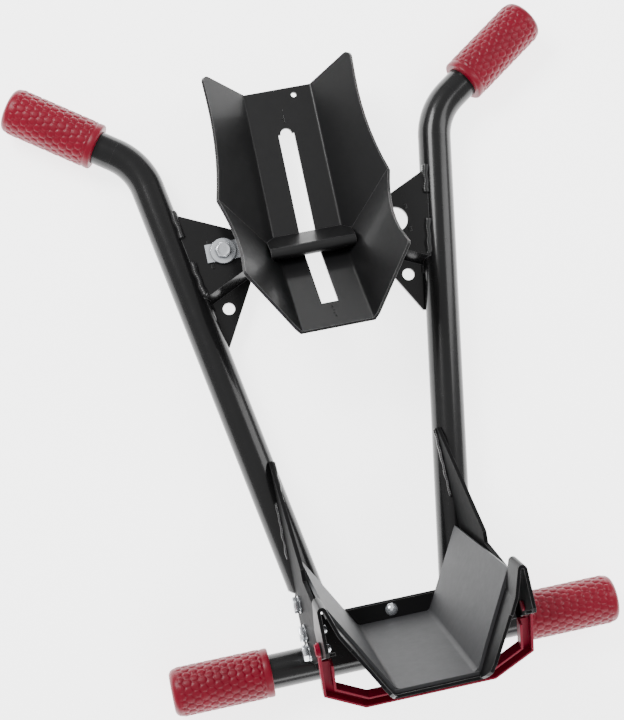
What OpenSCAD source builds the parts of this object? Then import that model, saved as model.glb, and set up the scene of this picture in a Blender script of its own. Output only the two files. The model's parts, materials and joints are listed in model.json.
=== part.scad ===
// Two-handed lifting frame with a rocking upper cradle and a toe cradle.
// Frame axes: X across, Y up the frame, Z out of the plane of the tubes.
// The frame lies flat on its four grips. Its bounding box is centred on X and Y.

/* [Frame tubes] */
// Outside diameter of the frame tubes
tube_d = 32; // [30:0.5:34]
// Wall of the frame tubes
tube_wall = 2; // [1.5:0.1:3]
// Half the distance between the tube axes at the cross tube
foot_half = 59.5; // [58:0.5:62]
// Lean of each tube away from the middle, in degrees
lean = 9.9; // [9.5:0.1:10.3]
// Height of the handle bend above the cross tube
bend_y = 491; // [485:1:500]
// Angle of the handle bend
handle_bend = 45; // [40:1:50]
// Radius of the handle bend at the tube axis
bend_r = 60; // [50:1:70]
// Length of the handle from the corner of the bend to the end of the tube
handle_run = 132; // [125:1:140]
// Height at which the axes of the leaning tubes are cut off
tube_cut_y = 58; // [56:1:62]
// Slant of that cut, in degrees
tube_cut = 30; // [20:1:34]
// Half length of the cross tube
cross_half = 207; // [200:1:215]

/* [Grips] */
// Outside diameter of the rubber grips
grip_d = 46; // [44:1:50]
// Length of a grip
grip_len = 92; // [80:1:100]
// Thickness of the closed end of a grip
grip_cap = 3; // [2:0.5:5]

/* [Brackets] */
// Thickness of the bracket sheet
bracket_t = 4; // [3:0.5:4]
// Height of the bracket holes and of the rocking pivot above the cross tube
arm_y = 389; // [388:1:390]
// Front face of the bracket arm above the plane of the tube axes
arm_top = 12; // [11:0.5:13]
// Front face of the lower triangle
web_drop = -6; // [-7:0.5:-5]
// Diameter of the large bracket hole
arm_hole_d = 24; // [20:1:25]
// Diameter of the hole in the lower triangle
tri_hole_d = 11.5; // [8:0.5:12]

/* [Upper cradle] */
// Sheet thickness of both cradles
sheet = 3; // [2.5:0.1:3]
// Half width of the flat back of both cradles
plate_half = 33; // [30:0.5:35]
// Height of the bend across the upper cradle
fold_y = 383; // [381:1:385]
// Length of the upper part of the back
upper_len = 158; // [150:1:165]
// Length of the lower part of the back
lower_len = 119; // [110:1:125]
// Angle of the bend across the upper cradle
fold_angle = 40; // [36:1:42]
// Flare of the upper side walls
wall_flare = 45; // [42:1:48]
// Angle of the crease on each wall away from the fold line
crease_angle = 53.6; // [50:0.1:57]
// Length of the crease
crease_len = 83.5; // [78:0.5:88]
// Width of the long slot
slot_w = 15.5; // [12:0.5:18]

/* [Rocking pivot] */
// Distance of the pivot axis behind the plane of the tube axes
pivot_z = -11; // [-11.5:0.1:-11]
// Diameter of the pivot bolt
pivot_d = 10; // [9:0.5:10]

/* [Toe cradle] */
// Length of the toe floor
toe_len = 191; // [185:1:195]
// Slope of the toe floor away from square to the frame
toe_tilt = 15; // [13:0.5:17]
// Flare of the toe walls from the floor
toe_flare = 59.5; // [58:0.5:60]
// Width of the toe walls at the back
toe_wall_w = 79; // [77:1:80]

/* [Kick bar] */
// Half width over the arms of the kick bar
bar_half = 88.2; // [88:0.1:88.5]
// Width of the channel of the kick bar
bar_w = 11; // [10.5:0.1:12]
// Depth of the channel of the kick bar
bar_depth = 9; // [8:0.5:10]
// Distance from the pins to the far edge of the kick bar
bar_reach = 70; // [69:1:74]
// Angle of the kick bar under the toe floor when folded back
bar_rest = 41.5; // [39:0.5:42]

/* [Hidden] */
$fn = 64;
eps = 0.01;
black = [0.07, 0.07, 0.07];
grey = [0.35, 0.35, 0.36];
red = [0.62, 0.08, 0.14];
dark_red = [0.42, 0.04, 0.10];
zinc = [0.80, 0.81, 0.82];
nylon = [0.13, 0.13, 0.13];

tube_r = tube_d / 2;
grip_r = grip_d / 2;
bend_x = foot_half + bend_y * tan(lean);
bend_tan = bend_r * tan(handle_bend / 2);
lower_run = (bend_y - tube_cut_y + 26) / cos(lean);
handle_angle = 90 - lean - handle_bend;
handle_end = handle_run + grip_cap;
top_y = bend_y + handle_end * sin(handle_angle) + grip_r * cos(handle_angle);
pin_y = 19;
pin_z = 204;
pin_d = 6;
bar_low_y = pin_y - bar_reach * cos(bar_rest) - bar_depth / 2 * sin(bar_rest);
mid_y = (top_y - 3 + bar_low_y) / 2;

// Local origin of the toe cradle: the back edge of its floor
toe_y = 25.5;
toe_z = 23;
toe_front_z = toe_z + toe_len * cos(toe_tilt);
hood_z = 236;
ridge_r = 4;
skirt_x = 85;
bar_t = 2;
bar_web_top = 16.1;
bar_eye = 12;
bar_corner = bar_reach - 22;
bar_foot_half = 55;

side_plate_x = 78.5;
side_plate_t = 3.5;
side_bolt_z = 42;
side_bolt_y = [12, 29, 55];
member_z = tube_r;
member_t = 4;

// Puts the frame's working axes into the resting position of the whole object
module place() translate([0, -mid_y, grip_r]) children();

module on_side(s) if (s < 0) mirror([1, 0, 0]) children(); else children();

// Plate square to X, drawn in (Y, Z)
module plate_x(x, t) translate([x, 0, 0]) rotate([90, 0, 90]) linear_extrude(t) children();

// Rod along X
module rod_x(x, y, z, d, len) translate([x, y, z]) rotate([0, 90, 0]) cylinder(d = d, h = len);

// Ring along X
module ring_x(x, y, z, d, bore, len) difference() {
    rod_x(x, y, z, d, len);
    rod_x(x - 1, y, z, bore, len + 2);
}

// Hexagonal prism along Z, given across flats
module hex(af, h) cylinder(d = af / cos(30), h = h, $fn = 6);

// How far a sheet runs on past the inside of a fold, so that the outside closes
function mitre(a) = sheet * tan(a / 2) - 0.04;

// Points of a shallow curve from p to q, bulging left of the way by s
function bow(p, q, s, n = 8) = [for (i = [1 : n - 1])
    let (t = i / n, d = q - p, l = norm(d))
    p + d * t + [-d[1], d[0]] / l * s * 4 * t * (1 - t)];

// Points of an arc round c
function arc(c, r, a0, a1, n = 6) = [for (i = [0 : n]) c + r * [cos(a0 + (a1 - a0) * i / n),
                                                               sin(a0 + (a1 - a0) * i / n)]];

// ---------------------------------------------------------------- frame

// Cross-section of a frame tube, thinned by x on both faces
module tube_ring(x) difference() {
    circle(d = tube_d - 2 * x);
    circle(d = tube_d - 2 * tube_wall + 2 * x);
}

// Straight length of tube along Y that enters the bend by a little at one end
module straight(y0, y1) translate([0, y0, 0]) rotate([-90, 0, 0])
    linear_extrude(y1 - y0) tube_ring(0.04);

module at_bend() translate([bend_x, bend_y, 0]) rotate([0, 0, -lean]) children();

// X of the axis of the leaning tube at height y
function leg_x(y) = foot_half + y * tan(lean);

// What the slanted cut takes off the lower end of a tube
module below_cut() translate([leg_x(tube_cut_y), tube_cut_y, 0]) rotate([0, 0, tube_cut])
    translate([-60, -60, -40]) cube([120, 60, 80]);

// Solid leg used to cope the sheets that are welded to a tube
module leg_solid() difference() {
    at_bend() translate([0, -lower_run, 0]) rotate([-90, 0, 0]) cylinder(d = tube_d, h = lower_run);
    below_cut();
}

module frame_tube() difference() {
    at_bend() {
        straight(-lower_run, 1.5 - bend_tan);
        translate([bend_r, -bend_tan, 0]) mirror([1, 0, 0])
            rotate_extrude(angle = handle_bend) translate([bend_r, 0]) tube_ring(0);
        rotate([0, 0, -handle_bend]) straight(bend_tan - 1.5, handle_run);
    }
    below_cut();
}

module left_frame_tube() color(black) place() on_side(-1) frame_tube();

module right_frame_tube() color(black) place() frame_tube();

module cross_tube() color(black) place() difference() {
    rod_x(-cross_half, 0, 0, tube_d, 2 * cross_half);
    rod_x(-cross_half - 1, 0, 0, tube_d - 2 * tube_wall, 2 * cross_half + 2);
}

// Rubber sleeve with a closed, rounded end; +Z towards the closed end
module grip() {
    end_r = 8;
    rotate_extrude() difference() {
        union() {
            translate([0, 1.5]) square([grip_r, grip_len - end_r - 1.5]);
            square([grip_r - 1.5, grip_len - end_r]);
            square([grip_r - end_r, grip_len]);
            translate([grip_r - end_r, grip_len - end_r]) circle(r = end_r);
        }
        translate([-grip_r, -1]) square([grip_r + tube_r, grip_len - grip_cap + 1]);
        translate([-2 * grip_r, -1]) square([2 * grip_r, grip_len + 2]);
    }
}

module handle_grip() at_bend() rotate([0, 0, -handle_bend])
    translate([0, handle_end - grip_len, 0]) rotate([-90, 0, 0]) grip();

module foot_grip() translate([cross_half + grip_cap - grip_len, 0, 0]) rotate([0, 90, 0]) grip();

module left_handle_grip() color(red) place() on_side(-1) handle_grip();

module right_handle_grip() color(red) place() handle_grip();

module left_foot_grip() color(red) place() on_side(-1) foot_grip();

module right_foot_grip() color(red) place() foot_grip();

// ---------------------------------------------------------------- brackets

arm_hole_x = 83.6;
arm_in_x = 54;
arm_edge = 25.2;
arm_foot = [66.7, 370];
tri_hole = [87.9, 339.5];
lug_t = 4;
stop_in_x = 24;
axis_x = foot_half + (bend_y - 40) * tan(lean);

// Lower edge of the bracket arm, at distance x from its inner end
function edge_pt(x, drop) = arm_foot + x * [cos(arm_edge), -sin(arm_edge)]
                            - drop * [sin(arm_edge), cos(arm_edge)];

// Upper plate of the bracket, welded to the front of the tube
module arm_plate() translate([0, 0, arm_top - bracket_t]) linear_extrude(bracket_t) polygon([
    [leg_x(441), 441], [arm_in_x, 402.5], [arm_in_x, 376], edge_pt(0, -1.4), edge_pt(59, -1.4)]);

// Sloping step between the upper plate and the lower triangle
module arm_step() translate([arm_foot[0], arm_foot[1], 0]) rotate([0, 0, -arm_edge])
    translate([-2.5, 0, 0]) rotate([90, 0, 90]) linear_extrude(62) polygon([
        [0, arm_top - 0.04], [-6.2, web_drop], [-6.2, web_drop - bracket_t + 0.04],
        [-3.4, web_drop - bracket_t + 0.04], [3, arm_top - bracket_t + 0.4], [3, arm_top - 0.04]]);

// Lower triangle of the bracket, welded to the side of the tube
module arm_triangle() translate([0, 0, web_drop - bracket_t]) linear_extrude(bracket_t) polygon([
    edge_pt(-1.5, 5.5), [62.3, 360.5], [94.5, 303], [leg_x(299), 299], edge_pt(56, 5.5)]);

// Lug at the inner end of the arm that carries the pivot bolt
module pivot_lug() plate_x(arm_in_x - 2, lug_t) {
    polygon([[375, arm_top], [403.5, arm_top], [411, 0], [411, -9], [399, -21],
             [379, -21], [361, -15], [361, -9]]);
}

// Stops behind the two halves of the rocking cradle
module rocker_stops() {
    translate([stop_in_x, 402, -7.4]) cube([arm_in_x - 1 - stop_in_x, 8.5, 4]);
    translate([stop_in_x, 361.5, -14]) cube([arm_in_x - 1 - stop_in_x, 8, 4]);
}

// Half-sheared nibs beside the large hole
module nibs() for (y = [-11, 11.5])
    translate([arm_hole_x + 11, arm_y + y - 1, arm_top - 1]) cube([2.5, 4, 2.4]);

// Copes a sheet to the leaning tube
module coped() difference() {
    children();
    leg_solid();
}

module bracket() difference() {
    union() {
        coped() arm_plate();
        coped() arm_step();
        coped() arm_triangle();
        pivot_lug();
        rocker_stops();
        nibs();
    }
    translate([arm_hole_x, arm_y + 2, 0]) cylinder(d = arm_hole_d, h = 30);
    translate([tri_hole[0], tri_hole[1], -30]) cylinder(d = tri_hole_d, h = 40);
    rod_x(40, arm_y, pivot_z, pivot_d, 30);
}

module left_bracket() color(black) place() on_side(-1) bracket();

module right_bracket() color(black) place() bracket();

// Keeper bar, clamped over the large hole of the left bracket
bar_plate_t = 3;
keeper_y = arm_y + 2;

module keeper_bar() color(zinc) place() difference() {
    translate([-100, keeper_y - 8.7, arm_top]) cube([38, 17.4, bar_plate_t]);
    translate([-arm_hole_x, keeper_y, 0]) cylinder(d = 8.4, h = 30);
}

module keeper_washers() color(zinc) place() translate([-arm_hole_x, keeper_y, 0]) difference() {
    union() {
        translate([0, 0, arm_top + bar_plate_t]) cylinder(d = 24, h = 2);
        translate([0, 0, arm_top - bracket_t - 2.5]) cylinder(d = 30, h = 2.5);
    }
    translate([0, 0, -30]) cylinder(d = 8.4, h = 80);
}

module keeper_bolt() color(zinc) place() translate([-arm_hole_x, keeper_y, 0]) {
    translate([0, 0, arm_top + bar_plate_t + 2]) hex(13, 5.3);
    translate([0, 0, -6]) cylinder(d = 8, h = arm_top + bar_plate_t + 2 + 6);
}

module keeper_nut() color(zinc) place() translate([-arm_hole_x, keeper_y, 0]) difference() {
    translate([0, 0, arm_top - bracket_t - 2.5 - 6.5]) hex(13, 6.5);
    translate([0, 0, -30]) cylinder(d = 8, h = 60);
}

// ---------------------------------------------------------------- pivot

sleeve_half = 48;
sleeve_d = 16;
bush_d = 13;
bush_len = 16;
bush_flange = 2;
lug_in_x = arm_in_x - 2;
lug_out_x = lug_in_x + lug_t;

module pivot_bolt() color(zinc) place() {
    rod_x(-lug_out_x, arm_y, pivot_z, pivot_d, 2 * lug_out_x + 12);
    translate([-lug_out_x, arm_y, pivot_z]) rotate([0, -90, 0]) hex(16, 6.4);
}

module pivot_nut() color(zinc) place() difference() {
    translate([lug_out_x, arm_y, pivot_z]) rotate([0, 90, 0]) hex(16, 9);
    rod_x(lug_out_x - 1, arm_y, pivot_z, pivot_d, 12);
}

module pivot_thrust_washers() color(zinc) place() for (s = [-1, 1])
    on_side(s) ring_x(lug_in_x - 1.6, arm_y, pivot_z, 20, pivot_d, 1.6);

module pivot_sleeve() color(black) place() {
    ring_x(-sleeve_half, arm_y, pivot_z, sleeve_d, bush_d, 2 * sleeve_half);
    for (s = [-1, 1]) on_side(s) difference() {
        translate([14, arm_y - 5, pivot_z + 4]) cube([15, 10, -sheet - pivot_z - 4]);
        rod_x(0, arm_y, pivot_z, sleeve_d - 1, 50);
    }
}

module bush() {
    ring_x(sleeve_half - bush_len, arm_y, pivot_z, bush_d, pivot_d + 0.16, bush_len);
    ring_x(sleeve_half, arm_y, pivot_z, sleeve_d, pivot_d + 0.16, bush_flange);
}

module left_pivot_bush() color(nylon) place() on_side(-1) bush();

module right_pivot_bush() color(nylon) place() bush();

// ---------------------------------------------------------------- upper cradle

crease_dir = [sin(crease_angle) * cos(wall_flare), cos(crease_angle),
              sin(crease_angle) * sin(wall_flare)];
crease_dy = crease_dir[1] * cos(fold_angle) - crease_dir[2] * sin(fold_angle);
crease_dz = crease_dir[1] * sin(fold_angle) + crease_dir[2] * cos(fold_angle);
lower_flare = atan2(crease_dz, crease_dir[0]);
ear_w = 53.5;
ear_y = 171;

// Upper wall, drawn in (distance from the fold, distance above the bend)
module upper_wall_shape() {
    v = crease_len * [sin(crease_angle), cos(crease_angle)];
    polygon(concat([[-mitre(wall_flare), 0], [0, 0], v], bow(v, [ear_w, ear_y - 9], 6.5),
        arc([ear_w - 6, ear_y - 5], 6, -10, 110), [[-mitre(wall_flare), upper_len]]));
}

// Lower wall, drawn in (distance from the fold, distance above the bend)
module lower_wall_shape() {
    v = crease_len * [norm([crease_dir[0], crease_dz]), crease_dy];
    w = [72, -90];
    polygon(concat([[-mitre(lower_flare), 0], [0, 0], v], bow(v, w, -10),
        arc(w - [5.5, 0.5], 5, 0, -55, 4), arc([5, -lower_len + 6], 6, -62, -90, 3),
        [[-mitre(lower_flare), -lower_len]]));
}

// Long slot in the part of the back that runs from y0 to y1
module slot(y0, y1) translate([0, 0, -10]) linear_extrude(20) {
    translate([-slot_w / 2, y0]) square([slot_w, y1 - y0]);
}

module upper_back() difference() {
    translate([-plate_half - mitre(wall_flare), -mitre(fold_angle), -sheet])
        cube([2 * plate_half + 2 * mitre(wall_flare), upper_len + mitre(fold_angle), sheet]);
    slot(8, 113);
    translate([0, 113, -10]) cylinder(d = 11, h = 20);
    translate([15, upper_len - 8, -10]) cylinder(d = 5, h = 20);
}

module lower_back() difference() {
    translate([-plate_half - mitre(lower_flare), -lower_len, -sheet])
        cube([2 * plate_half + 2 * mitre(lower_flare), lower_len + mitre(fold_angle), sheet]);
    slot(-86, -8);
}

module cradle_side() {
    translate([plate_half, 0, 0]) {
        rotate([0, -wall_flare, 0]) translate([0, 0, -sheet])
            linear_extrude(sheet) upper_wall_shape();
        rotate([-fold_angle, 0, 0]) rotate([0, -lower_flare, 0]) translate([0, 0, -sheet])
            linear_extrude(sheet) lower_wall_shape();
    }
}

module upper_cradle() color(black) place() translate([0, fold_y, 0]) {
    difference() {
        union() {
            upper_back();
            rotate([-fold_angle, 0, 0]) lower_back();
        }
        translate([-slot_w / 2, -9, -20]) cube([slot_w, 18, 40]);
    }
    cradle_side();
    on_side(-1) cradle_side();
}

// Folded strip with a round nose, welded across the bend
module crossbar_strip() translate([-41, 0, 0]) rotate([90, 0, 90])
    linear_extrude(82) difference() {
        union() {
            polygon([[15, 0.2], [-1.2, 24.5], [-9.5, 19], [-9, 7.9], [0.1, 0.2]]);
            translate([-5.2, 20]) circle(r = 6);
        }
        polygon([[11, -1], [-3, 20], [-6.5, 20], [-6.5, -1]]);
        translate([-5.2, 20]) circle(r = 3);
    }

// Everything behind the front face of a wall with the given flare
module behind_wall(flare) translate([plate_half - 0.2, 0, 0]) rotate([0, -flare, 0])
    translate([-5, -80, -90]) cube([120, 160, 90]);

module cradle_crossbar() color(black) place() translate([0, fold_y, 0]) difference() {
    crossbar_strip();
    for (s = [-1, 1]) on_side(s) {
        behind_wall(wall_flare);
        rotate([-fold_angle, 0, 0]) behind_wall(lower_flare);
    }
}

// ---------------------------------------------------------------- toe end

// Side plate from the tubes to the skirt, drawn in (Y, Z) and coped to the tubes
module side_plate() difference() {
    plate_x(side_plate_x, side_plate_t) polygon([
        [188, 4], [188, 14], [84, 122], [74, 119], [50, 182], [34, 184], [9.56, 184],
        [2, 62], [2, -12], [62, -12], [66, 6]]);
    leg_solid();
    rod_x(60, 0, 0, tube_d, 60);
    for (y = side_bolt_y) rod_x(60, y, side_bolt_z, 8, 60);
}

module left_side_plate() color(black) place() on_side(-1) side_plate();

module right_side_plate() color(black) place() side_plate();

// Folded member across the back of the toe cradle, between the side plates
module rear_crossmember() color(black) place() difference() {
    union() {
        translate([-side_plate_x, -6, member_z]) cube([2 * side_plate_x, 48, member_t]);
        for (s = [-1, 1]) on_side(s)
            translate([side_plate_x - member_t, 4, member_z]) cube([member_t, 60, 62 - member_z]);
    }
    for (y = side_bolt_y) rod_x(-100, y, side_bolt_z, 8, 200);
    translate([0, toe_y + 7.5, 0]) cylinder(d = 6, h = 40);
}

module side_bolts() color(zinc) place() for (s = [-1, 1], y = side_bolt_y) on_side(s) {
    rod_x(side_plate_x - 15, y, side_bolt_z, 8, 15 + side_plate_t + 1.6);
    translate([side_plate_x + side_plate_t + 1.6, y, side_bolt_z]) rotate([0, 90, 0]) hex(13, 5.3);
}

module side_washers() color(zinc) place() for (s = [-1, 1], y = side_bolt_y)
    on_side(s) ring_x(side_plate_x + side_plate_t, y, side_bolt_z, 16, 8, 1.6);

module side_nuts() color(zinc) place() for (s = [-1, 1], y = side_bolt_y) on_side(s) difference() {
    translate([side_plate_x - member_t - 6.5, y, side_bolt_z]) rotate([0, 90, 0]) hex(13, 6.5);
    rod_x(side_plate_x - 20, y, side_bolt_z, 8, 30);
}

toe_bolt_z = toe_z;

module toe_bolt() color(zinc) place() translate([0, toe_y + 7.5, toe_bolt_z]) {
    translate([0, 0, -15]) cylinder(d = 6, h = 15);
    intersection() {
        translate([0, 0, -4.2]) sphere(r = 7.3);
        cylinder(d = 12, h = 10);
    }
}

module toe_washer() color(zinc) place() translate([0, toe_y + 7.5, member_z - 1.6]) difference() {
    cylinder(d = 12, h = 1.6);
    translate([0, 0, -1]) cylinder(d = 6, h = 4);
}

module toe_nut() color(zinc) place() translate([0, toe_y + 7.5, member_z - 6.6]) difference() {
    hex(10, 5);
    translate([0, 0, -1]) cylinder(d = 6, h = 7);
}

// Working axes of the toe floor: Y forward along the floor, Z below it
module toe_axes() translate([0, toe_y, toe_z]) rotate([90 + toe_tilt, 0, 0]) children();

// Distance along the fold at which the wall, at width w, reaches the height z
function toe_wall_y(z, w) = (z - toe_z - w * sin(toe_flare) * sin(toe_tilt)) / cos(toe_tilt);

liner_top_w = 84;
slit_z = toe_front_z - 1;
liner_back = sheet * tan(toe_tilt) + 0.2;

// Toe liner wall, drawn in (distance from the fold, distance forward)
module liner_wall_shape() polygon([[-mitre(toe_flare), liner_back + 0.6], [0.4, liner_back + 0.6],
    [toe_wall_w, toe_wall_y(24, toe_wall_w)], [liner_top_w, toe_wall_y(slit_z, liner_top_w)],
    [20, toe_wall_y(slit_z, 20)], [4, toe_len - 1], [-mitre(toe_flare), toe_len - 0.6]]);

module liner_side() translate([plate_half, 0, 0]) rotate([0, toe_flare, 0])
    linear_extrude(sheet) liner_wall_shape();

// Grey sheet that lies inside the black shell
module toe_liner() color(grey) place() toe_axes() {
    translate([-plate_half - mitre(toe_flare), liner_back, 0])
        cube([2 * plate_half + 2 * mitre(toe_flare), toe_len - liner_back, sheet]);
    liner_side();
    on_side(-1) liner_side();
}

// Section of the hood, drawn in (X, height above the toe floor)
shell_x = plate_half + sheet * tan(toe_flare / 2);
hood_flare = 71;
hood_back = slit_z + 0.3;
hood_bend_w = 70;
shell_wall_w = 77;
dir_a = [cos(toe_flare), sin(toe_flare)];
out_a = [sin(toe_flare), -cos(toe_flare)];
out_b = [sin(hood_flare), -cos(hood_flare)];
hood_bend = [shell_x, -sheet] + hood_bend_w * dir_a;
ridge_x = skirt_x - ridge_r;
ridge_h = hood_bend[1] + ((ridge_x - hood_bend[0]) * sin(hood_flare) - ridge_r) / cos(hood_flare);

// Outline of the hood at depth q below its outer face
function hood_line(q) = concat(
    [[shell_x, -sheet] + (hood_bend_w - 14) * dir_a + q * out_a,
     hood_bend + q * (out_a + out_b) / (1 + out_a * out_b)],
    arc([ridge_x, ridge_h], ridge_r - q, 90 + hood_flare, 0, 10),
    [[skirt_x - q, ridge_h - 14]]);

function reversed(v) = [for (i = [len(v) - 1 : -1 : 0]) v[i]];

// Height of the ridge centre above the cross tube, z in front of the tubes
function ridge_y(z) = toe_y + ridge_h * cos(toe_tilt)
                      - (z - toe_z - ridge_h * sin(toe_tilt)) * tan(toe_tilt);

module hood() intersection() {
    toe_axes() translate([0, 140, 0]) rotate([-90, 0, 0]) linear_extrude(120)
        polygon(concat(hood_line(0.04), reversed(hood_line(sheet - 0.04))));
    plate_x(40, 60) polygon([[0, hood_back], [110, hood_back], [110, hood_z], [0, hood_z]]);
}

// Shell wall with its front strip, drawn like the liner wall
module shell_wall_shape() polygon([[-mitre(toe_flare), 0.6], [0.4, 0.6],
    [shell_wall_w - 1, toe_wall_y(26, shell_wall_w)],
    [shell_wall_w, toe_wall_y(slit_z - 2, shell_wall_w)],
    [hood_bend_w - 2, toe_wall_y(slit_z + 2, hood_bend_w)],
    [hood_bend_w - 2, toe_wall_y(hood_z, hood_bend_w - 2)],
    [16, toe_wall_y(232, 16)], [9, toe_wall_y(229, 9)], [4, toe_wall_y(222, 4)],
    [-mitre(toe_flare), toe_len + 3]]);

// Outer skirt with the hole of the pin; its lower edge stops the folded kick bar
module skirt_shape() difference() {
    polygon([[ridge_y(hood_z) - 2, hood_z], [16, hood_z], [12.8, hood_z - 3.5], [9.6, 176],
        [34, 176], [ridge_y(hood_back) - 2, hood_back]]);
    translate([pin_y, pin_z]) circle(d = pin_d + 0.2);
}

module shell_side() {
    toe_axes() translate([shell_x, 0, sheet]) rotate([0, toe_flare, 0])
        linear_extrude(sheet) shell_wall_shape();
    hood();
    plate_x(skirt_x - sheet, sheet) skirt_shape();
    translate([skirt_x - sheet - 5.2, 13.2, 225]) cube([6.7, 2.5, 7]);
}

// Folded shell with its back flange, front strips, hoods and skirts
module lower_cradle() color(black) place() {
    back = sheet * tan(toe_tilt) - mitre(90 - toe_tilt);
    flange_y = toe_y - sheet / cos(toe_tilt) - mitre(90 - toe_tilt);
    toe_axes() translate([-shell_x - mitre(toe_flare), back, sheet])
        cube([2 * shell_x + 2 * mitre(toe_flare), toe_len + 3 - back, sheet]);
    difference() {
        translate([0, 0, toe_z - sheet]) linear_extrude(sheet) polygon([
            [0.6 - shell_x, flange_y], [shell_x - 0.6, flange_y],
            [shell_x - 0.6, toe_y + 0.8], [plate_half + 8, toe_y + 15],
            [-plate_half - 8, toe_y + 15], [0.6 - shell_x, toe_y + 0.8]]);
        translate([0, toe_y + 7.5, 0]) cylinder(d = 6, h = 40);
    }
    shell_side();
    on_side(-1) shell_side();
}

// ---------------------------------------------------------------- kick bar

corner_turn = atan2(bar_half - bar_foot_half, bar_reach - bar_corner);

// Half-open outline of the bar, set in by t, with its arms ending at height y
function bar_line(t, y) = let (
        cy = -bar_corner + t * tan(corner_turn / 2),
        fx = bar_foot_half - t * tan((90 - corner_turn) / 2))
    [[t - bar_half, y], [t - bar_half, cy], [-fx, t - bar_reach],
     [fx, t - bar_reach], [bar_half - t, cy], [bar_half - t, y]];

module bar_band(t0, t1, y) difference() {
    polygon(bar_line(t0, y));
    polygon(bar_line(t1, y + 1));
}

// Channel bar; only its outer flange runs up to the pins
module kick_bar() color(dark_red) place() translate([0, pin_y, pin_z]) rotate([bar_rest, 0, 0])
    difference() {
        union() {
            translate([0, 0, -bar_depth / 2]) linear_extrude(bar_depth) bar_band(0, bar_t, 0);
            translate([0, 0, -bar_depth / 2]) linear_extrude(bar_depth)
                bar_band(bar_w - bar_t, bar_w, -bar_web_top);
            translate([0, 0, -bar_depth / 2]) linear_extrude(bar_t)
                bar_band(0, bar_w, -bar_web_top);
            for (s = [-1, 1]) on_side(s) rod_x(bar_half - bar_t, 0, 0, bar_eye, bar_t);
        }
        rod_x(-100, 0, 0, pin_d, 200);
    }

module kick_bar_pins() color(dark_red) place() for (s = [-1, 1]) on_side(s) {
    in_x = skirt_x - sheet - 1.6;
    rod_x(in_x, pin_y, pin_z, pin_d, bar_half - in_x);
    rod_x(bar_half, pin_y, pin_z, 10, 1.6);
    rod_x(in_x, pin_y, pin_z, 8.5, 1.5);
}

// Washers in the gaps between the skirts and the arms of the bar
module kick_bar_washers() color(nylon) place() for (s = [-1, 1]) on_side(s)
    ring_x(skirt_x + 0.1, pin_y, pin_z, 12, pin_d, bar_half - bar_t - skirt_x - 0.2);

left_frame_tube();
right_frame_tube();
cross_tube();
left_handle_grip();
right_handle_grip();
left_foot_grip();
right_foot_grip();
left_bracket();
right_bracket();
keeper_bar();
keeper_washers();
keeper_bolt();
keeper_nut();
pivot_bolt();
pivot_nut();
pivot_thrust_washers();
upper_cradle();
cradle_crossbar();
pivot_sleeve();
left_pivot_bush();
right_pivot_bush();
left_side_plate();
right_side_plate();
rear_crossmember();
lower_cradle();
toe_liner();
side_bolts();
side_washers();
side_nuts();
toe_bolt();
toe_washer();
toe_nut();
kick_bar();
kick_bar_pins();
kick_bar_washers();
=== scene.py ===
"""Two-handed lifting frame with two cradles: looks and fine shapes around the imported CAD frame.

Rubber grips, bolts with threads, weld beads, inside radii of the folds and small nicks are made here.
All other pieces are the CAD nodes with new materials.
"""
import json
import math
import random

import bmesh
import bpy
from mathutils import Matrix, Vector


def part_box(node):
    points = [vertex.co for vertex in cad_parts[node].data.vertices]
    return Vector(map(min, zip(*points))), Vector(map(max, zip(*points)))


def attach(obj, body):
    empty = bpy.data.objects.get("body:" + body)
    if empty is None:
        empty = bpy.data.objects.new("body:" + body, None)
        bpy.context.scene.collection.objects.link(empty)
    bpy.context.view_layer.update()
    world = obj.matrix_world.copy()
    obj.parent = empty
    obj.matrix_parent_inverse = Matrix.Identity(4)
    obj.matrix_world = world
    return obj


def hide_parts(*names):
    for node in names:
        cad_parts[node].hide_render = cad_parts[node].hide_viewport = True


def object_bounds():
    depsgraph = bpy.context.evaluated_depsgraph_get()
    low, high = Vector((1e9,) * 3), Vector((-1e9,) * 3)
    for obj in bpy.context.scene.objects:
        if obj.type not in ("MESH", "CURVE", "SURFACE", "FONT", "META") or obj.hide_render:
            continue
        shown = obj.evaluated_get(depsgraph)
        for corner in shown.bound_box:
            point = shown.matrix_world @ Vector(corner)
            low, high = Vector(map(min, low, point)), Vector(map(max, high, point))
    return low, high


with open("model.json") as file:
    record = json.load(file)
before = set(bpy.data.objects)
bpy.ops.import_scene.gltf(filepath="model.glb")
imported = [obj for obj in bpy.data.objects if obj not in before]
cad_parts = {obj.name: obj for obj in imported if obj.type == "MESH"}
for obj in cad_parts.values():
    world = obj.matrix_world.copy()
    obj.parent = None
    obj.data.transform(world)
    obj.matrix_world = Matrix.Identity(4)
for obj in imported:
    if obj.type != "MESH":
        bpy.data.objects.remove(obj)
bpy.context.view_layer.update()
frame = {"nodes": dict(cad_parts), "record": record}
NODES = frame["nodes"]
rng = random.Random(7)

# Sizes of the frame that the added pieces follow, in mm and radians. Heights are above the cross tube and
# depths are in front of the plane of the tubes.
LEAN = math.radians(9.9)            # of each frame tube, away from the middle
HANDLE_BEND = math.radians(45)
FOOT_HALF = 59.5                    # from the middle to a tube axis at the cross tube
TUBE_R = 16.0
PLATE_IN, PLATE_OUT = 78.5, 82.0    # faces of the side plates
SIDE_BOLT_HEIGHTS, SIDE_BOLT_DEPTH = (12, 29, 55), 42
BACK_HALF = 33                      # half width of the flat back of both cradles
FOLD_HEIGHT, FOLD_ANGLE = 383.0, math.radians(40)       # bend across the upper cradle
UPPER_FLARE, LOWER_FLARE = math.radians(45), math.radians(55.15)
TOE_HEIGHT, TOE_DEPTH = 25.5, 23    # back edge of the toe floor
TOE_TILT, TOE_FLARE = math.radians(15), math.radians(59.5)


# ------------------------------------------------------------------ material helpers

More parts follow.
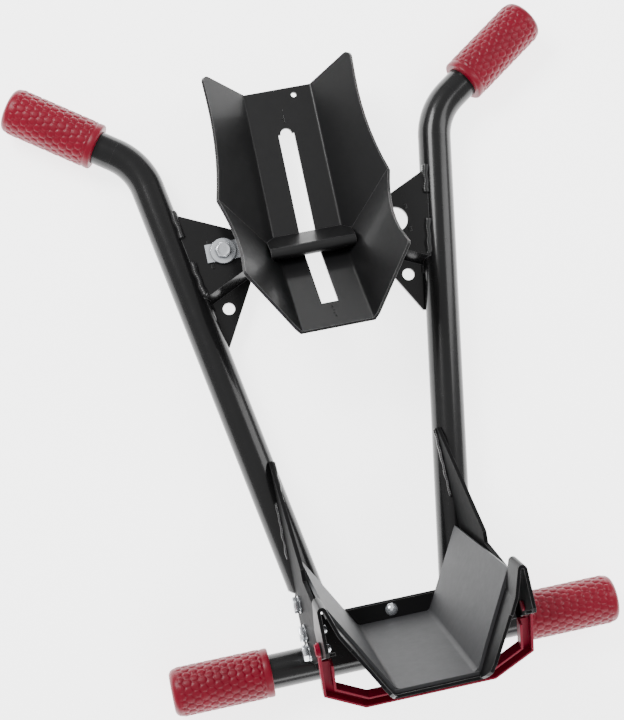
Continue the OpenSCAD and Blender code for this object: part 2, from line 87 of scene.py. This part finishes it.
class Mat:
    """A node tree with short calls for its nodes and links."""

    def __init__(self, name):
        self.m = bpy.data.materials.new(name)
        self.m.use_nodes = True
        self.t = self.m.node_tree
        self.b = self.t.nodes["Principled BSDF"]
        self.coord = self.node("ShaderNodeTexCoord")

    def node(self, kind, **values):
        n = self.t.nodes.new(kind)
        for k, v in values.items():
            setattr(n, k, v)
        return n

    def link(self, a, b):
        self.t.links.new(a, b)

    def set(self, **values):
        """Sets inputs of the shader; an underscore stands for a space."""
        for k, v in values.items():
            self.b.inputs[k.replace("_", " ")].default_value = v

    def noise(self, scale, detail=4.0, rough=0.5):
        n = self.node("ShaderNodeTexNoise")
        n.inputs["Scale"].default_value = scale
        n.inputs["Detail"].default_value = detail
        n.inputs["Roughness"].default_value = rough
        self.link(self.coord.outputs["Object"], n.inputs["Vector"])
        return n.outputs["Fac"]

    def ramp(self, value, lo, hi, a=0.0, b=1.0):
        """Maps lo..hi to a..b, clamped."""
        n = self.node("ShaderNodeMapRange")
        n.inputs["From Min"].default_value = lo
        n.inputs["From Max"].default_value = hi
        n.inputs["To Min"].default_value = a
        n.inputs["To Max"].default_value = b
        self.link(value, n.inputs["Value"])
        return n.outputs["Result"]

    def math(self, op, a, b):
        n = self.node("ShaderNodeMath", operation=op)
        for i, v in enumerate((a, b)):
            if isinstance(v, (int, float)):
                n.inputs[i].default_value = v
            else:
                self.link(v, n.inputs[i])
        return n.outputs[0]

    def mix(self, fac, a, b):
        """Mixes two colours."""
        n = self.node("ShaderNodeMix", data_type="RGBA")
        for socket, v in ((n.inputs[0], fac), (n.inputs[6], a), (n.inputs[7], b)):
            if isinstance(v, (int, float)):
                socket.default_value = v
            elif isinstance(v, (tuple, list)):
                socket.default_value = (*v, 1.0)
            else:
                self.link(v, socket)
        return n.outputs[2]

    def edge(self, radius):
        """1 along the edges, 0 on the flats."""
        bev = self.node("ShaderNodeBevel", samples=6)
        bev.inputs["Radius"].default_value = radius
        geo = self.node("ShaderNodeNewGeometry")
        dot = self.node("ShaderNodeVectorMath", operation="DOT_PRODUCT")
        self.link(bev.outputs["Normal"], dot.inputs[0])
        self.link(geo.outputs["Normal"], dot.inputs[1])
        return self.ramp(self.math("SUBTRACT", 1.0, dot.outputs["Value"]), 0.02, 0.2)

    def shaded(self, color, distance, floor):
        """Painted shade: darkens a colour in the crevices by ambient occlusion."""
        ao = self.node("ShaderNodeAmbientOcclusion", samples=6)
        ao.inputs["Distance"].default_value = distance
        n = self.node("ShaderNodeVectorMath", operation="SCALE")
        self.link(color, n.inputs[0])
        self.link(self.ramp(ao.outputs["AO"], 0.35, 0.95, floor, 1.0), n.inputs["Scale"])
        return n.outputs[0]

    def bump(self, height, strength, distance, radius):
        """Bump on top of edges that are rounded to the radius."""
        n = self.node("ShaderNodeBump")
        n.inputs["Strength"].default_value = strength
        n.inputs["Distance"].default_value = distance
        self.link(height, n.inputs["Height"])
        bev = self.node("ShaderNodeBevel", samples=6)
        bev.inputs["Radius"].default_value = radius
        self.link(bev.outputs["Normal"], n.inputs["Normal"])
        self.link(n.outputs["Normal"], self.b.inputs["Normal"])


def paint(name, color, rough, wear_and_highlight_color, wear_and_highlight_amount=0.6, grain=900.0, coat=0.3, spread=0.12, spec=0.35,
          peel=0.05):
    """Powder coat: orange peel, cloudy colour, faint marks, and paler edges that are partly wear and partly
    a painted highlight.
    """
    m = Mat(name)
    cloud = m.noise(14.0, 3.0)
    marks = m.noise(140.0, 6.0, 0.7)
    shade = m.ramp(cloud, 0.3, 0.7, 1.0 - spread, 1.0 + spread)
    base = m.node("ShaderNodeVectorMath", operation="SCALE")
    base.inputs[0].default_value = color
    m.link(shade, base.inputs["Scale"])
    # Paler colour along the edges: partly wear, partly a painted highlight
    wear_and_highlight = m.math("MULTIPLY", m.edge(0.0008), m.ramp(m.noise(60.0, 3.0), 0.3, 0.62, 0.35, 1.0))
    wear_and_highlight = m.math("MULTIPLY", wear_and_highlight, wear_and_highlight_amount)
    m.link(m.mix(wear_and_highlight, base.outputs[0], wear_and_highlight_color), m.b.inputs["Base Color"])
    m.link(m.math("ADD", m.ramp(marks, 0.3, 0.75, rough - 0.02, rough + 0.05),
                  m.math("MULTIPLY", wear_and_highlight, 0.1)), m.b.inputs["Roughness"])
    m.set(Coat_Weight=coat, Coat_Roughness=0.12, Specular_IOR_Level=spec)
    m.bump(m.noise(grain, 2.0), peel, 0.0002, radius=0.0007)
    return m.m


def zinc(name, color, rough):
    """Bright zinc plating: fine grain, slight clouding, and painted shade darkening its crevices."""
    m = Mat(name)
    grain = m.noise(600.0, 5.0, 0.65)
    cloud = m.noise(50.0, 3.0)
    # Base colour with painted shade in the crevices
    m.link(m.shaded(m.mix(m.ramp(cloud, 0.35, 0.7), color, tuple(c * 0.86 for c in color)), 0.003, 0.12),
           m.b.inputs["Base Color"])
    m.link(m.ramp(grain, 0.3, 0.7, rough - 0.06, rough + 0.1), m.b.inputs["Roughness"])
    m.set(Metallic=0.85)
    m.bump(grain, 0.015, 0.0002, radius=0.0004)
    return m.m


def plastic(name, color, rough, spec, deep=0.88):
    """Moulded rubber or nylon with a fine grain and uneven depth of colour."""
    m = Mat(name)
    cloud = m.noise(30.0, 3.0)
    m.link(m.mix(m.ramp(cloud, 0.3, 0.7), color, tuple(c * deep for c in color)),
           m.b.inputs["Base Color"])
    m.link(m.ramp(m.noise(250.0), 0.3, 0.7, rough - 0.05, rough + 0.05), m.b.inputs["Roughness"])
    m.set(Specular_IOR_Level=spec)
    m.bump(m.noise(400.0, 3.0), 0.15, 0.0002, radius=0.0004)
    return m.m


FINISH = {
    "frame_black": paint("frame_black", (0.0062, 0.0062, 0.0065), 0.24, (0.18, 0.18, 0.18), coat=0.20,
                         spec=0.24),
    "cradle_black": paint("cradle_black", (0.0060, 0.0060, 0.0064), 0.37, (0.34, 0.34, 0.34), spec=0.28,
                          coat=0.12, wear_and_highlight_amount=0.75, peel=0.03),
    "grey_paint": paint("grey_paint", (0.041, 0.0415, 0.0435), 0.50, (0.16, 0.16, 0.16), spread=0.05,
                        coat=0.0, peel=0.03, spec=0.10),
    "crimson_paint": paint("crimson_paint", (0.180, 0.0016, 0.0170), 0.36, (0.19, 0.003, 0.020),
                           coat=0.05, spec=0.1),
    "red_rubber": plastic("red_rubber", (0.195, 0.0006, 0.0140), 0.36, spec=0.28, deep=0.8),
    "zinc_hardware": zinc("zinc_hardware", (0.84, 0.87, 0.91), 0.17),
    "nylon": plastic("nylon", (0.012, 0.012, 0.012), 0.5, spec=0.1),
}
# The toe shell and the side plates are duller than the other black pieces
SHELL = paint("shell_black", (0.0060, 0.0060, 0.0063), 0.36, (0.30, 0.30, 0.30), coat=0.0, spec=0.05)
PLATE = paint("plate_black", (0.0085, 0.0085, 0.0088), 0.50, (0.12, 0.12, 0.12), coat=0.0, spec=0.008)
WELD = paint("weld_bead", (0.012, 0.012, 0.0125), 0.2, (0.16, 0.16, 0.16), wear_and_highlight_amount=0.3, grain=1500.0)
# Near-black matte colour inside the nicks: painted shade
NICK_SHADE = paint("painted_nick_shade", (0.0012, 0.0012, 0.0012), 0.6, (0.01, 0.01, 0.01), coat=0.0)
SLOT = {s["node"]: s["material_slot"] for s in frame["record"]["subparts"]}
for name, obj in NODES.items():
    obj.data.materials.clear()
    obj.data.materials.append({"left_side_plate": PLATE, "right_side_plate": PLATE,
                               "lower_cradle": SHELL}.get(name, FINISH[SLOT[name]]))


# ------------------------------------------------------------------ shapes

def centre(node):
    """Centre of a node's box."""
    a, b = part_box(node)
    return (Vector(a) + Vector(b)) / 2


CROSS = centre("cross_tube")


def P(x, u, n):
    """A point given in mm from the cross tube: across, up the frame, out of its plane."""
    return Vector((x / 1000, CROSS.y + u / 1000, CROSS.z + n / 1000))


def add(name, verts, faces, material, body, smooth=True):
    """Makes a piece that rides on a body and belongs to a material slot."""
    mesh = bpy.data.meshes.new(name)
    mesh.from_pydata([tuple(v) for v in verts], [], faces)
    mesh.update()
    bm = bmesh.new()
    bm.from_mesh(mesh)
    bmesh.ops.remove_doubles(bm, verts=bm.verts, dist=1e-7)
    bmesh.ops.recalc_face_normals(bm, faces=bm.faces)
    bm.to_mesh(mesh)
    bm.free()
    for p in mesh.polygons:
        p.use_smooth = smooth
    obj = bpy.data.objects.new(name, mesh)
    bpy.context.scene.collection.objects.link(obj)
    mesh.materials.append(material)
    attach(obj, body)
    return obj


def axes_for(direction):
    """Two cross axes and the unit direction itself."""
    z = Vector(direction).normalized()
    x = z.cross(Vector((0, 0, 1)) if abs(z.z) < 0.9 else Vector((1, 0, 0))).normalized()
    return x, z.cross(x), z


def rings(origin, direction, rows, around):
    """Skin round an axis; each row holds a radius and a distance along the axis for every step round it."""
    x, y, z = axes_for(direction)
    verts, faces = [], []
    for radii, heights in rows:
        for i in range(around):
            a = 2 * math.pi * i / around
            verts.append(origin + (x * math.cos(a) + y * math.sin(a)) * radii[i] + z * heights[i])
    for r in range(len(rows) - 1):
        for i in range(around):
            j = (i + 1) % around
            faces.append((r * around + i, r * around + j, (r + 1) * around + j, (r + 1) * around + i))
    return verts, faces


def lathe(name, origin, direction, profile, around, material, body):
    """Turned piece from (radius, distance along the axis) pairs in metres."""
    rows = [([r] * around, [h] * around) for r, h in profile]
    verts, faces = rings(origin, direction, rows, around)
    return add(name, verts, faces, material, body)


# ------------------------------------------------------------------ grips

GRIP_GROOVE_R = 21.85     # bottom of the grooves between the pads
GRIP_COLLAR_R = 22.35
GRIP_PADS = 18            # pads round the grip
GRIP_AROUND = 192         # mesh steps round the grip
GRIP_STEP = 0.7           # mesh step along the grip
PAD_PITCH = 2 * math.pi * 22.95 / GRIP_PADS
PAD_START = 7.2           # from the open end to the first pads
PAD_STOP = 6.6            # from the last pads to the closed end
END_ROUND = 6.5           # edge radius of the closed end


def hex_pad(around, along):
    """Height of the honeycomb from 0 in a groove to 1 on a pad, and the distance to the pad's centre."""
    row_h = PAD_PITCH * math.sqrt(3) / 2
    nearest = second = math.inf
    r0 = round(along / row_h)
    for r in (r0 - 1, r0, r0 + 1):
        shift = 0.5 * PAD_PITCH if r % 2 else 0.0
        c0 = round((around - shift) / PAD_PITCH)
        for c in (c0 - 1, c0, c0 + 1):
            d = math.hypot(around - shift - c * PAD_PITCH, along - r * row_h)
            if d < nearest:
                nearest, second = d, nearest
            elif d < second:
                second = d
    to_groove = (second - nearest) / 2
    t = min(max((to_groove - 0.35) / 0.9, 0.0), 1.0)
    return t * t * (3 - 2 * t), nearest


def grip(node, direction):
    """Rubber grip with honeycomb pads, a smooth collar and a rounded closed end."""
    obj = NODES[node]
    pts = [obj.matrix_world @ v.co for v in obj.data.vertices]
    x, y, z = axes_for(direction)
    start, end = min(p.dot(z) for p in pts), max(p.dot(z) for p in pts)
    mid_x = (min(p.dot(x) for p in pts) + max(p.dot(x) for p in pts)) / 2
    mid_y = (min(p.dot(y) for p in pts) + max(p.dot(y) for p in pts)) / 2
    origin = x * mid_x + y * mid_y + z * start
    length = (end - start) * 1000
    rows = []

    def row(radii, distance):
        rows.append(([r / 1000 for r in radii], [distance / 1000] * GRIP_AROUND))

    def ring(r, distance):
        row([r] * GRIP_AROUND, distance)

    # Open end and collar
    for r, distance in ((16.3, 0.0), (20.6, 0.05), (21.5, 0.25), (22.1, 0.9), (GRIP_COLLAR_R, 1.8),
                        (GRIP_COLLAR_R, 5.2), (22.15, 6.0), (GRIP_GROOVE_R, 6.6)):
        ring(r, distance)
    s = PAD_START
    while s < length - PAD_STOP:
        fade = min(1.0, (s - PAD_START) / 1.6, (length - PAD_STOP - s) / 2.0)
        radii = []
        for i in range(GRIP_AROUND):
            lift, near = hex_pad(PAD_PITCH * GRIP_PADS * i / GRIP_AROUND, s)
            crown = 0.25 * (1.0 - near / PAD_PITCH)
            radii.append(GRIP_GROOVE_R + fade * lift * (0.50 + crown))
        row(radii, s)
        s += GRIP_STEP
    # Closed end
    for degrees in range(5, 90, 10):
        a = math.radians(degrees)
        ring(GRIP_GROOVE_R - END_ROUND + END_ROUND * math.cos(a),
             length - END_ROUND + END_ROUND * math.sin(a) - 0.02)
    for r in (13.0, 9.0, 5.0, 0.001):
        ring(r, length - 0.02)
    verts, faces = rings(origin, z, rows, GRIP_AROUND)
    piece = add(node + "_rubber", verts, faces, FINISH["red_rubber"], "frame")
    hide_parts(node)


for node, side in (("left_foot_grip", -1), ("right_foot_grip", 1)):
    grip(node, (side, 0, 0))
HANDLE = math.pi / 2 - LEAN - HANDLE_BEND
for node, side in (("left_handle_grip", -1), ("right_handle_grip", 1)):
    grip(node, (side * math.cos(HANDLE), math.sin(HANDLE), 0))


# ------------------------------------------------------------------ bolts

HEX_AROUND = 144        # mesh steps round a hex head
M8_FLATS = 13


def hex_head(name, origin, direction, height, body, turn):
    """M8 bolt head: a chamfered hexagon on a washer face, with a shallow dish on top."""
    apothem = M8_FLATS / 2
    rim, dish = apothem * 0.94, height - 0.3
    hexagon, chamfer = [], []
    for i in range(HEX_AROUND):
        a = 360.0 * i / HEX_AROUND + turn
        r = apothem / math.cos(math.radians((a + 30) % 60 - 30))
        hexagon.append(r)
        chamfer.append(height - max(0.0, r - apothem * 0.95) * 0.62)

    def flat(v):
        return [v / 1000] * HEX_AROUND

    def scaled(factor):
        return [r * factor / 1000 for r in hexagon]

    rows = [(flat(apothem * 0.93), flat(0.0)), (flat(apothem * 0.93), flat(0.45)),
            (scaled(0.985), flat(0.5)), (scaled(1.0), flat(0.75)),
            (scaled(1.0), [h / 1000 - 0.0002 for h in chamfer]),
            (scaled(0.99), [h / 1000 for h in chamfer]),
            (flat(rim), flat(height)), (flat(rim * 0.97), flat(height)),
            (flat(rim * 0.80), flat(dish)), (flat(rim * 0.4), flat(dish)), (flat(0.001), flat(dish))]
    verts, faces = rings(origin, direction, rows, HEX_AROUND)
    return add(name, verts, faces, FINISH["zinc_hardware"], body)


def shank(name, origin, direction, length, body):
    """M8 shank: plain for 6 mm, then a rolled thread."""
    dia, thread_from = 8, 6.0
    r, depth = dia / 2 / 1000, dia * 0.045 / 1000
    profile = [(0.00001, 0.0), (r, 0.0), (r, thread_from / 1000)]
    s = thread_from
    while s < length - 1.4:
        profile += [(r - depth, (s + 0.3) / 1000), (r, (s + 0.62) / 1000), (r, (s + 0.7) / 1000)]
        s += 1.0
    profile += [(r - depth, (length - 1.0) / 1000), (r - 0.0008, length / 1000), (0.00001, length / 1000)]
    lathe(name, origin, direction, profile, 48, FINISH["zinc_hardware"], body)


washer_lo, washer_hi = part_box("side_washers")
washer_out = max(abs(washer_lo[0]), abs(washer_hi[0]))
side_head_height = (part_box("side_bolts")[1][0] - washer_out) * 1000
for side, tag in ((-1, "left"), (1, "right")):
    for k, u in enumerate(SIDE_BOLT_HEIGHTS):
        spot = P(0, u, SIDE_BOLT_DEPTH)
        spot.x = side * washer_out
        name = tag + "_side_bolt_" + str(k)
        hex_head(name + "_head", spot, (side, 0, 0), side_head_height, "frame",
                                   rng.uniform(0, 60))
        shank(name + "_shank", spot, (-side, 0, 0), 20.1, "frame")
# One head stands for all six bolts
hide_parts("side_bolts")

bolt_lo, bolt_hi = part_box("keeper_bolt")
keeper_top = centre("keeper_bolt")
keeper_top.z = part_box("keeper_washers")[1][2]
keeper_head = hex_head("keeper_bolt_head", keeper_top, (0, 0, 1), (bolt_hi[2] - keeper_top.z) * 1000,
                       "frame", 17.0)
shank("keeper_bolt_shank", keeper_top, (0, 0, -1), (keeper_top.z - bolt_lo[2]) * 1000, "frame")
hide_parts("keeper_bolt")


# ------------------------------------------------------------------ weld beads

BEAD_STEP = 0.45        # mesh step along a bead, in mm
BEAD_AROUND = 12        # mesh steps round a bead
BEAD_RIPPLE = 1.7       # length of one ripple, in mm


def bead(name, points, radius, body, seed):
    """Lumpy weld bead along a list of points; radius in mm."""
    r = random.Random(seed)
    path = []
    for a, b in zip(points, points[1:]):
        steps = max(2, int((b - a).length * 1000 / BEAD_STEP))
        path += [a.lerp(b, i / steps) for i in range(steps)]
    path.append(points[-1])
    phase = r.uniform(0, 6)
    n = len(path)
    verts, faces = [], []
    for i, p in enumerate(path):
        x, y, z = axes_for((path[min(i + 1, n - 1)] - path[max(i - 1, 0)]).normalized())
        s = i * BEAD_STEP
        end = min(1.0, (i + 0.4) / 4, (n - 0.6 - i) / 4)
        wave = 0.5 + 0.5 * math.sin(2 * math.pi * s / BEAD_RIPPLE + phase + 0.6 * math.sin(s * 0.9 + phase))
        size = radius / 1000 * math.sqrt(max(end, 0.02)) * (
            0.86 + 0.16 * wave + 0.10 * math.sin(s * 0.31 + phase * 2))
        shift = x * radius / 1000 * 0.12 * math.sin(s * 0.47 + phase)
        for k in range(BEAD_AROUND):
            a = 2 * math.pi * k / BEAD_AROUND
            verts.append(p + shift + (x * math.cos(a) + y * math.sin(a)) * size)
    for i in range(n - 1):
        here, ahead = i * BEAD_AROUND, (i + 1) * BEAD_AROUND
        for k in range(BEAD_AROUND):
            j = (k + 1) % BEAD_AROUND
            faces.append((here + k, here + j, ahead + j, ahead + k))
    faces.append(tuple(range(BEAD_AROUND)))
    faces.append(tuple((n - 1) * BEAD_AROUND + k for k in reversed(range(BEAD_AROUND))))
    add(name, verts, faces, WELD, body)


def leg_x(u):
    """Distance of a leaning tube's axis from the middle at height u."""
    return FOOT_HALF + u * math.tan(LEAN)


def tube_face(offset):
    """Depth of the front of a tube at a distance from its axis line."""
    return math.sqrt(max(TUBE_R ** 2 - offset ** 2, 0.0))


def beside_arm(u):
    """Point on the front of a leaning tube, next to the outer edge of the bracket arm."""
    offset = -12.4
    return leg_x(u) + offset / math.cos(LEAN), u, tube_face(offset) + 1.6


def beside_plate(x, u, shift, lift):
    """Point where the face of a side plate at x meets the front of the leaning tube, moved a little."""
    return x + shift, u, tube_face((x - leg_x(u)) * math.cos(LEAN)) + lift


def weld(side, name, points, radius, seed):
    """Bead on the left (-1) or right (1) half of the frame; the points are those of the right half."""
    bead(name, [P(side * x, u, n) for x, u, n in points], radius, "frame", seed)


for side, tag, seed in ((-1, "left", 11), (1, "right", 29)):
    weld(side, tag + "_arm_weld_top", [beside_arm(u) for u in (439, 432, 425, 418, 410)], 3.7, seed)
    weld(side, tag + "_arm_weld_low", [beside_arm(u) for u in range(387, 351, -7)], 3.7, seed + 1)
    weld(side, tag + "_triangle_weld",
         [(leg_x(u) - 15.6 / math.cos(LEAN), u, -5.4) for u in (360, 352, 344, 337)], 2.2, seed + 2)
    weld(side, tag + "_brace_weld_inner",
         [beside_plate(PLATE_IN, u, -0.9, 0.6) for u in range(188, 118, -6)], 2.2, seed + 3)
    weld(side, tag + "_brace_weld_outer",
         [beside_plate(PLATE_OUT, u, 0.5, 0.3) for u in range(150, 92, -6)], 2.3, seed + 4)
    weld(side, tag + "_foot_weld",
         [(PLATE_OUT + 0.3, 16.2 * math.sin(a), 16.2 * math.cos(a))
          for a in map(math.radians, range(10, 106, 6))], 1.7, seed + 5)


# ------------------------------------------------------------------ cradle details

def on_back(x, y, lift=0.03):
    """Point on the front of the upper cradle's back, y mm above (or below) its bend."""
    if y >= 0:
        return P(x, FOLD_HEIGHT + y, lift)
    return P(x, FOLD_HEIGHT + y * math.cos(FOLD_ANGLE) + lift * math.sin(FOLD_ANGLE),
             -y * math.sin(FOLD_ANGLE) + lift * math.cos(FOLD_ANGLE))


def mark(name, x, y0, y1, width):
    """Shallow nick cut into the back of the upper cradle, coloured near black as painted shade."""
    verts, faces = [], []
    n = 6
    for i in range(n + 1):
        y = y0 + (y1 - y0) * i / n
        w = width / 2 * (0.7 + 0.3 * math.sin(math.pi * i / n)) * rng.uniform(0.9, 1.1)
        verts += [on_back(x - w, y), on_back(x + w, y), on_back(x + w, y, -0.2), on_back(x - w, y, -0.2)]
    for i in range(n):
        for k in range(4):
            j = (k + 1) % 4
            faces.append((4 * i + k, 4 * i + j, 4 * i + 4 + j, 4 * i + 4 + k))
    faces += [(0, 1, 2, 3), (4 * n + 3, 4 * n + 2, 4 * n + 1, 4 * n)]
    add(name, verts, faces, NICK_SHADE, "rocker", smooth=False)


# Nicks above and below the slot: distance from the middle, then the two ends above the bend
NICKS = ((0.0, 123, 132), (0.4, 135, 137.5), (-1.6, 127.5, 129.5),
         (0.0, -91, -95), (0.7, -96.5, -99), (0.1, -100.5, -103), (0.8, -104.5, -108))
for k, (x, y0, y1) in enumerate(NICKS):
    mark("nick_" + str(k), x, y0, y1, 1.5)
    bead("nick_lip_" + str(k), [on_back(x + 1.0, y0, 0.0), on_back(x + 1.0, y1, 0.0)], 0.42, "rocker",
         70 + k)


def fillet(name, p0, p1, a, b, radius, body, slot):
    """Inside radius of a fold from p0 to p1 between the flats that run along a and b; radius in mm."""
    a, b = Vector(a).normalized(), Vector(b).normalized()
    half = a.angle(b) / 2
    middle = (a + b).normalized()
    r = radius / 1000
    to_centre = middle * (r / math.sin(half))
    from_a = a * (r / math.tan(half)) - to_centre
    from_b = b * (r / math.tan(half)) - to_centre
    sweep = from_a.angle(from_b)
    lift = middle * 0.00003
    steps, parts = 12, 10
    verts, faces = [], []
    for i in range(parts + 1):
        base = p0.lerp(p1, i / parts)
        for k in range(steps + 1):
            t = k / steps
            v = (from_a * math.sin((1 - t) * sweep) + from_b * math.sin(t * sweep)) / math.sin(sweep)
            verts.append(base + to_centre + v + lift)
    w = steps + 1
    for i in range(parts):
        for k in range(steps):
            faces.append((i * w + k, i * w + k + 1, (i + 1) * w + k + 1, (i + 1) * w + k))
    add(name, verts, faces, FINISH[slot], body)


def toe_fold_point(side, y):
    """Point on the fold of the toe liner, y mm forward along its floor."""
    return P(side * BACK_HALF, TOE_HEIGHT - y * math.sin(TOE_TILT), TOE_DEPTH + y * math.cos(TOE_TILT))


for side, tag in ((-1, "left"), (1, "right")):
    x = side * BACK_HALF
    inward = (-side, 0, 0)
    fillet(tag + "_upper_fold", on_back(x, 3, 0), on_back(x, 157.5, 0), inward,
           (side * math.cos(UPPER_FLARE), 0, math.sin(UPPER_FLARE)), 4.0, "rocker", "cradle_black")
    fillet(tag + "_lower_fold", on_back(x, -118.5, 0), on_back(x, -3, 0), inward,
           (side * math.cos(LOWER_FLARE), math.sin(LOWER_FLARE) * math.sin(FOLD_ANGLE),
            math.sin(LOWER_FLARE) * math.cos(FOLD_ANGLE)), 4.0, "rocker", "cradle_black")
    fillet(tag + "_toe_fold", toe_fold_point(side, 1.6), toe_fold_point(side, 189.5), inward,
           (side * math.cos(TOE_FLARE), math.sin(TOE_FLARE) * math.cos(TOE_TILT),
            math.sin(TOE_FLARE) * math.sin(TOE_TILT)), 6.0, "frame", "grey_paint")

# Welds of the folded strip across the upper cradle
bead("crossbar_weld_low", [on_back(x, -11.2, 0.4) for x in range(-27, -10, 4)], 1.3, "rocker", 51)
bead("crossbar_weld_low_right", [on_back(x, -11.2, 0.4) for x in range(11, 30, 4)], 1.3, "rocker", 52)
for side, tag in ((-1, "left"), (1, "right")):
    bead(tag + "_crossbar_weld",
         [P(side * (34.6 + d), FOLD_HEIGHT + 3.5 - 0.35 * d, 2.6 + d) for d in (0, 2, 4, 6)],
         1.6, "rocker", 60 + side)


# ------------------------------------------------------------------ floor, light, camera

def soft_light(name, spot, aim, size, power):
    """White rectangular area light at a spot, pointed at aim."""
    data = bpy.data.lights.new(name, "AREA")
    data.shape = "RECTANGLE"
    data.size, data.size_y = size
    data.energy = power
    obj = bpy.data.objects.new(name, data)
    bpy.context.scene.collection.objects.link(obj)
    obj.location = spot
    obj.rotation_euler = (Vector(aim) - Vector(spot)).to_track_quat("-Z", "Y").to_euler()


FLOOR_HALF, FLOOR_GAP = 3, 0.0005
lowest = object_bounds()[0].z
floor_mesh = bpy.data.meshes.new("floor")
bm = bmesh.new()
for x, y in ((-1, -1), (1, -1), (1, 1), (-1, 1)):
    bm.verts.new((x * FLOOR_HALF, y * FLOOR_HALF, lowest - FLOOR_GAP))
bm.faces.new(bm.verts)
bm.to_mesh(floor_mesh)
bm.free()
floor = bpy.data.objects.new("floor", floor_mesh)
bpy.context.scene.collection.objects.link(floor)
fm = Mat("floor")
fm.link(fm.mix(fm.ramp(fm.noise(3.0), 0.3, 0.7), (0.93, 0.93, 0.93), (0.91, 0.91, 0.91)),
        fm.b.inputs["Base Color"])
fm.set(Roughness=0.8, Specular_IOR_Level=0.1, Emission_Color=(1, 1, 1, 1), Emission_Strength=3.2)
floor_mesh.materials.append(fm.m)

world = bpy.data.worlds.new("studio")
bpy.context.scene.world = world
world.use_nodes = True
background = world.node_tree.nodes["Background"]
background.inputs["Color"].default_value = (1, 1, 1, 1)
background.inputs["Strength"].default_value = 0.8

soft_light("key", (-0.9, 1.1, 1.5), (0, 0, 0.05), (0.9, 0.7), 38)
soft_light("fill", (1.5, 0.3, 1.2), (0, 0, 0.05), (0.5, 1.4), 13)
soft_light("rim", (0.2, -1.7, 0.8), (0, -0.1, 0.1), (1.6, 0.4), 14)

cam_data = bpy.data.cameras.new("camera")
cam_data.lens = 80.0
cam_data.sensor_width = 36.0
cam = bpy.data.objects.new("camera", cam_data)
bpy.context.scene.collection.objects.link(cam)
bpy.context.scene.camera = cam

# The camera looks down on the frame from a little to the left and below, turned about its own axis
AIM = Vector((-0.0213, CROSS.y + 0.2752, 0.023))
SIDEWAYS, ALONG, ROLL = math.radians(-6.34), math.radians(-7.655), math.radians(-12.02)
DISTANCE = 1.5104
back = Vector((math.sin(SIDEWAYS) * math.cos(ALONG), math.sin(ALONG),
               math.cos(SIDEWAYS) * math.cos(ALONG)))
up = Vector((0, 1, 0))
up = (up - up.dot(back) * back).normalized()
right = up.cross(back)
right, up = (right * math.cos(ROLL) + up * math.sin(ROLL),
             up * math.cos(ROLL) - right * math.sin(ROLL))
cam.matrix_world = Matrix((
    (right.x, up.x, back.x, AIM.x + DISTANCE * back.x),
    (right.y, up.y, back.y, AIM.y + DISTANCE * back.y),
    (right.z, up.z, back.z, AIM.z + DISTANCE * back.z),
    (0, 0, 0, 1)))
